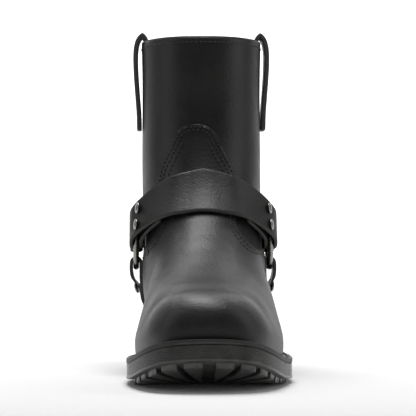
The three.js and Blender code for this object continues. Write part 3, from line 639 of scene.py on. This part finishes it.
# The sole: smooth outlines through the same stations as the solids
soleSettings = {
    "length": 302,
    "width": 113,
    "stations": 26,
    "toeSpring": 21,
    "lugDepth": 3.2,
    "outsole": 10.3,
    "outsoleHeel": 8,
    "welt": 3.6,
    "show": 7.4,
    "heelShow": 3.4,
    "heelSeat": 27,
    "heelBreast": 218,
    "around": 300,
    "cuts": 40,
}
outlineRows = [
    (0, 0, 0), (0.004, 0.12, 0.12), (0.02, 0.245, 0.24), (0.05, 0.325, 0.32), (0.1, 0.386, 0.385),
    (0.17, 0.434, 0.44), (0.26, 0.468, 0.492), (0.34, 0.47, 0.522), (0.42, 0.435, 0.522),
    (0.52, 0.355, 0.465), (0.63, 0.306, 0.384), (0.74, 0.308, 0.338), (0.84, 0.312, 0.318),
    (0.92, 0.275, 0.276), (0.97, 0.19, 0.19), (0.993, 0.09, 0.09), (1, 0, 0),
]
spring, lug, seat = soleSettings["toeSpring"], soleSettings["lugDepth"], soleSettings["heelSeat"]
undersideRows = [
    (0, spring), (0.06, lerp(lug, spring, 0.66)), (0.14, lerp(lug, spring, 0.31)),
    (0.22, lerp(lug, spring, 0.09)), (0.3, lug), (0.44, lug), (0.54, lerp(lug, seat, 0.22)),
    (0.6, lerp(lug, seat, 0.53)), (0.66, lerp(lug, seat, 0.86)), (0.715, seat), (1, seat),
]
innerShare, outerShare = through(outlineRows, 1), through(outlineRows, 2)
undersideShare = through(undersideRows, 1)


def underside(y):
    return undersideShare(y / soleSettings["length"])


def outsoleTop(y):
    back = ease((y / soleSettings["length"] - 0.45) / 0.25)
    return underside(y) + lerp(soleSettings["outsole"], soleSettings["outsoleHeel"], back)


def weltTop(y):
    return outsoleTop(y) + soleSettings["welt"]


def showAt(y):
    back = ease((y / soleSettings["length"] - 0.45) / 0.35)
    return lerp(soleSettings["show"], soleSettings["heelShow"], back)


def outline(count, start=0.0, end=1.0):
    n = soleSettings["stations"]
    shares = [lerp(start, end, (1 - math.cos(math.pi * i / n)) / 2) for i in range(n + 1)]
    long, wide = soleSettings["length"], soleSettings["width"]
    outer = [(wide * outerShare(s), long * s, 0) for s in shares]
    inner = [(-wide * innerShare(s), long * s, 0) for s in shares]
    inner = inner[0 if start > 0 else 1 : len(inner) if end < 1 else -1]
    return smoothLine(outer + inner[::-1], count, closed=True)


def inset(line, depth):
    points = []
    for i, p in enumerate(line):
        step = line[(i + 1) % len(line)] - line[i - 1]
        square = Vector((-step.y, step.x, 0)).normalized()
        points.append(p + square * (depth(p.y) if callable(depth) else depth))
    return points


# Layers of one outline, each made by extruding the one before. Each has an inset and a height.
def loft(name, line, layers, material, capped=True):
    def loopPlaces(layer):
        depth, height = layer
        points = line(height, depth) if callable(line) else inset(line, depth)
        return [place(p.x, p.y, height(p.y) if callable(height) else height) for p in points]

    bm = bmesh.new()
    firstPlaces = loopPlaces(layers[0])
    bmesh.ops.create_circle(bm, cap_ends=capped, segments=len(firstPlaces), radius=1)
    current = bm.verts[:]
    for vert, at in zip(current, firstPlaces):
        vert.co = at
    edges = bm.edges[:]
    first = edges[:]
    for layer in layers[1:]:
        order = {tuple(v.co): i for i, v in enumerate(current)}
        grown = bmesh.ops.extrude_edge_only(bm, edges=edges)
        edges = edgesIn(grown)
        current = sorted(vertsIn(grown), key=lambda v: order[tuple(v.co)])
        for vert, at in zip(current, loopPlaces(layer)):
            vert.co = at
    if capped:
        bmesh.ops.holes_fill(bm, edges=edges, sides=0)
    else:
        bmesh.ops.bridge_loops(bm, edges=first + edges)
    cuts = soleSettings["cuts"]  # flat faces are cut into strips, so that none has hundreds of corners
    for face in [f for f in bm.faces if len(f.verts) > 4]:
        ys = [v.co.y for v in face.verts]
        region = [face]
        for k in range(1, cuts):
            y = lerp(min(ys), max(ys), k / cuts)
            parts = list({e for f in region for e in f.edges}) + list({v for f in region for v in f.verts})
            strips = bmesh.ops.bisect_plane(bm, geom=region + parts, plane_co=(0, y, 0), plane_no=(0, 1, 0))
            region = [g for g in strips["geom"] if isinstance(g, bmesh.types.BMFace)]
    bmesh.ops.recalc_face_normals(bm, faces=bm.faces)
    return crisp(newObject(bm, name, material))


# The outsole's edge has fine moulded ridges. Each rises and falls at these shares of its height.
outsoleSettings = {"ridges": 7, "depth": 0.45, "shape": [(0.15, 0), (0.35, 1), (0.7, 1), (0.9, 0)]}


def outsolePiece():
    def partWay(t):
        return lambda y: lerp(underside(y) + 1.8, outsoleTop(y) - 0.4, t)

    layers = [(1.4, underside), (0.3, lambda y: underside(y) + 0.3), (0, lambda y: underside(y) + 1.1)]
    count = outsoleSettings["ridges"]
    for k in range(count):
        for share, deep in outsoleSettings["shape"]:
            layers.append((0.25 + deep * outsoleSettings["depth"], partWay((k + share) / count)))
    layers += [(0.3, lambda y: outsoleTop(y) - 0.2), (0.8, outsoleTop)]
    return loft("outsole_rubber", outline(soleSettings["around"]), layers, rubber)


done(outsolePiece(), "sole_rubber", "outsole")

# The tread: the solid's own lugs, with their radial grooves, closed at the top inside the outsole
treadSettings = {"below": 0.4, "sunk": 0.5}


def treadPiece():
    bm = mergedNode("outsole")

    def overSole(vert):
        return (vert.co.z - place(0, 0, 0).z) / mm - underside((vert.co.y - tipY) / mm)

    high = [f for f in bm.faces if all(overSole(v) > -treadSettings["below"] for v in f.verts)]
    bmesh.ops.delete(bm, geom=high, context="FACES")
    rims = [e for e in bm.edges if e.is_boundary]
    rimVerts = list({v for e in rims for v in e.verts})
    bmesh.ops.translate(bm, verts=rimVerts, vec=(0, 0, treadSettings["sunk"] * mm))
    bmesh.ops.holes_fill(bm, edges=rims, sides=0)
    bmesh.ops.recalc_face_normals(bm, faces=bm.faces)
    return crisp(newObject(bm, "outsole_tread", rubber))


done(treadPiece(), "sole_rubber")
print("outsole ready")

# The welt, with a stitched groove along its top
weltSettings = {"gap": 0.25, "hidden": 10, "groove": 3.2, "grooveWidth": 1.6, "grooveDepth": 0.45}


def grooveAt(y):
    return min(weltSettings["groove"], showAt(y) * 0.46)


def weltPiece():
    half, depth = weltSettings["grooveWidth"] / 2, weltSettings["grooveDepth"]

    def low(y):
        return outsoleTop(y) + weltSettings["gap"]

    def hole(y):
        return showAt(y) + weltSettings["hidden"]

    layers = [
        (0.7, low),
        (0.1, lambda y: low(y) + 0.5),
        (0, lambda y: weltTop(y) - 0.8),
        (0.25, lambda y: weltTop(y) - 0.25),
        (0.8, weltTop),
        (lambda y: grooveAt(y) - half - 0.3, weltTop),
        (lambda y: grooveAt(y) - half + 0.2, lambda y: weltTop(y) - depth),
        (lambda y: grooveAt(y) + half - 0.2, lambda y: weltTop(y) - depth),
        (lambda y: grooveAt(y) + half + 0.3, weltTop),
        (hole, weltTop),
        (hole, low),
    ]
    return loft("welt_edge", outline(soleSettings["around"]), layers, weltFinish, capped=False)


welt = done(weltPiece(), "welt_leather", "welt")
print("welt ready")

# The heel: stacked lifts with a rubber top piece, which has three grooves across
heelSettings = {
    "taper": 0.1,
    "lifts": 4,
    "line": 0.35,
    "rubber": 7,
    "gap": 0.25,
    "middle": 260,
    "inset": 0.4,
    "around": 200,
    "grooves": (0.78, 0.84, 0.9),
    "grooveWidth": 4.6,
    "grooveDepth": 2.2,
    "grooveReach": 22,
}


# The heel's outline at a height, smaller towards the floor about its own middle
def heelLine(height, depth):
    size = 1 - heelSettings["taper"] * (1 - height / seat)
    middle = heelSettings["middle"]
    line = outline(heelSettings["around"], soleSettings["heelBreast"] / soleSettings["length"], 1)
    points = inset(line, heelSettings["inset"] + depth)
    return [Vector((p.x * size, middle + (p.y - middle) * size, 0)) for p in points]


def heelPieces():
    top, gap, lifts, line = [heelSettings[k] for k in ("rubber", "gap", "lifts", "line")]
    low, high = top + gap, seat - gap
    layers = []
    for k in range(lifts):
        bottom, upper = lerp(low, high, k / lifts), lerp(low, high, (k + 1) / lifts)
        layers += [(line, bottom), (0, bottom + line), (0, upper - line), (line, upper - 0.02)]
    done(loft("heel_stack_leather", heelLine, layers, stackFinish), "heel_stack", "heel_block")
    lift = loft("heel_top_piece", heelLine, [(0.8, 0), (0, 0.7), (0, top - 0.3), (0.4, top)], rubber)
    width, deep, reach = [heelSettings[k] for k in ("grooveWidth", "grooveDepth", "grooveReach")]
    half = width / 2
    for share in heelSettings["grooves"]:
        y = soleSettings["length"] * share
        ends = [(y - half, -5), (y + half, -5), (y + half, deep), (y - half, deep)]
        booleaned(lift, prism("bar", ends, "x", -reach, reach, rubber), "DIFFERENCE")
    done(lift, "sole_rubber", "heel_lift")


heelPieces()

# The insole, with the filler below it that fills the welt's opening
insoleSettings = {"inside": 4.3, "filler": 10.3, "above": 0.3, "thickness": 4, "round": 0.6}


def insolePiece():
    def inside(y):
        return showAt(y) + insoleSettings["inside"]

    def fillerLine(y):
        return showAt(y) + insoleSettings["filler"]

    def base(y):
        return weltTop(y) + insoleSettings["above"]

    thick, soft = insoleSettings["thickness"], insoleSettings["round"]
    layers = [
        (fillerLine, lambda y: outsoleTop(y) + soft),
        (fillerLine, base),
        (inside, base),
        (inside, lambda y: base(y) + thick - soft),
        (lambda y: inside(y) + 0.8, lambda y: base(y) + thick),
    ]
    return loft("insole_leather", outline(heelSettings["around"]), layers, insoleFinish)


done(insolePiece(), "insole_leather", "insole")
print("heel and insole ready")

# Domed rivets: a profile spun about the solid's own axis, from its flat side to the top of its dome
rivetSettings = {"radius": 4, "height": 2.0, "rimFrom": 3.5, "dome": (8, 22, 38, 54, 70), "around": 28}


def rivetPiece(node):
    bm = mergedNode(node)
    points = [v.co.copy() for v in bm.verts]
    bm.free()
    middle = sum(points, Vector()) / len(points)
    rim = [p for p in points if (p - middle).length > rivetSettings["rimFrom"] * mm]
    ends = sorted(points, key=lambda p: (p - middle).length)[:2]
    base, top = sorted(ends, key=lambda p: sum((q - p).length for q in rim))
    r, h = rivetSettings["radius"] * mm, rivetSettings["height"] * mm
    profile = [(0, 0), (r * 0.97, 0), (r, h * 0.25)]
    for degrees in rivetSettings["dome"]:
        a = math.radians(degrees)
        profile.append((r * math.cos(a), h * (0.3 + 0.7 * math.sin(a))))
    profile.append((0, h))
    bm = bmesh.new()
    verts = [bm.verts.new((x, 0, z)) for x, z in profile]
    edges = [bm.edges.new(pair) for pair in zip(verts, verts[1:])]
    bmesh.ops.spin(
        bm,
        geom=verts + edges,
        cent=(0, 0, 0),
        axis=(0, 0, 1),
        angle=math.tau,
        steps=rivetSettings["around"],
        use_merge=True,
    )
    bmesh.ops.remove_doubles(bm, verts=bm.verts, dist=0.005 * mm)
    bmesh.ops.recalc_face_normals(bm, faces=bm.faces)
    turn = Vector((0, 0, 1)).rotation_difference((top - base).normalized()).to_matrix().to_4x4()
    bmesh.ops.transform(bm, matrix=Matrix.Translation(base) @ turn, verts=bm.verts)
    return newObject(bm, node + "_metal", metal)


for node in rivetNames:
    done(rivetPiece(node), "nickel", node)
print("rivets ready")

# Stitches: small capsules of thread along a line on a surface
stitchSettings = {"length": 2.5, "pitch": 3.3, "thick": 0.95, "proud": 0.15}
weltStitchSettings = {"length": 3.7, "pitch": 4.5, "thick": 1.4, "proud": 0.55}
seamSettings = {
    "vampRows": (1.8, 4.2),
    "tongueRow": 7.5,
    "counterRows": (2.0, 4.6),
    "rimHeight": 236.3,
    "rimPoints": 72,
}


def stitchesAlong(bm, tree, line, settings):
    total = sum((q - p).length for p, q in zip(line, line[1:]))
    count = max(2, int(total / (settings["pitch"] * mm)))
    points = smoothLine(line, count * 2 + 1)
    half, thick = settings["length"] / 2 * mm, settings["thick"] / 2 * mm
    for i in range(0, len(points) - 2, 2):
        at, normal, _, _ = tree.find_nearest(points[i + 1])
        ahead = points[i + 2] - points[i]
        along = (ahead - normal * ahead.dot(normal)).normalized()
        at = at + normal * settings["proud"] * mm
        columns = [normal.cross(along) * thick, normal * thick, along * half]
        matrix = Matrix([[c[k] for c in columns] + [at[k]] for k in range(3)] + [[0, 0, 0, 1]])
        bmesh.ops.create_uvsphere(bm, u_segments=6, v_segments=5, radius=1, matrix=matrix)


def stitchPiece(name, slot, tree, lines, settings=stitchSettings):
    bm = bmesh.new()
    for line in lines:
        stitchesAlong(bm, tree, [p for p in line if p is not None], settings)
    bmesh.ops.recalc_face_normals(bm, faces=bm.faces)
    return done(newObject(bm, name, threadFinish), slot)


# Where a line of sight from the front or from a side meets the surface
def frontCast(tree, x, z):
    return tree.ray_cast(place(x, -100, z), Vector((0, 1, 0)))[0]


def sideCast(tree, side, y, z):
    return tree.ray_cast(place(side * 150, y, z), Vector((-side, 0, 0)))[0]


def offsetLine(points, depth):
    moved = []
    for i, p in enumerate(points):
        step = points[min(i + 1, len(points) - 1)] - points[max(i - 1, 0)]
        moved.append(p + Vector((step.y, -step.x, 0)).normalized() * depth)
    return moved


def vampSeams(tree):
    tongue = smoothLine([(x, z, 0) for x, z in tongueOutline], 120)
    side = smoothLine([(y, z, 0) for y, z in vampSide], 120)
    lines = []
    for depth in seamSettings["vampRows"]:
        top = [frontCast(tree, p.x, p.y) for p in offsetLine(tongue, depth) if -40 < p.x < 38]
        low = [p for p in offsetLine(side, depth) if p.x > 152 and p.y > 30]
        left, right = [[sideCast(tree, turn, p.x, p.y) for p in low] for turn in (-1, 1)]
        lines.append(left[::-1] + top + right)
    inner = [p for p in offsetLine(tongue, seamSettings["tongueRow"]) if 118 < p.y < 166]
    for half in ([p for p in inner if p.x < -5], [p for p in inner if p.x > -5]):
        lines.append([frontCast(tree, p.x, p.y) for p in half])
    return lines


def counterSeams(tree):
    side = smoothLine([(y, z, 0) for y, z in counterSide], 90)
    lines = []
    for depth in seamSettings["counterRows"]:
        low = [p for p in offsetLine(side, depth) if p.y > 42 and p.x < 278]
        lines += [[sideCast(tree, turn, p.x, p.y) for p in low] for turn in (1, -1)]
    return lines


# Along the welt's groove, from one end of the heel's breast round the toe to the other
def weltSeam():
    line = [p for p in inset(outline(400), grooveAt) if p.y < 214]
    split = max(range(len(line) - 1), key=lambda i: (line[i + 1] - line[i]).length)
    line = line[split + 1 :] + line[: split + 1]
    return [place(p.x, p.y, weltTop(p.y) - 0.35) for p in line]


# A row below the top edge, all round the shaft
def rimSeam(tree):
    middle = place(0, 229, seamSettings["rimHeight"])
    line = []
    for k in range(seamSettings["rimPoints"] + 1):
        turn = math.tau * k / seamSettings["rimPoints"]
        out = Vector((math.sin(turn), -math.cos(turn), 0))
        line.append(tree.ray_cast(middle + out * 0.2, -out)[0])
    return line


vampTree, counterTree, weltTree, upperTree = [treeOf(p) for p in (vamp, counter, welt, upper)]
stitchPiece("vamp_stitches", "black_leather", vampTree, vampSeams(vampTree))
stitchPiece("counter_stitches", "black_leather", counterTree, counterSeams(counterTree))
stitchPiece("welt_stitches", "welt_leather", weltTree, [weltSeam()], weltStitchSettings)
stitchPiece("rim_stitches", "black_leather", upperTree, [rimSeam(upperTree)])
print("stitches ready")

bpy.data.objects.remove(sheet)
sheetMesh.free()
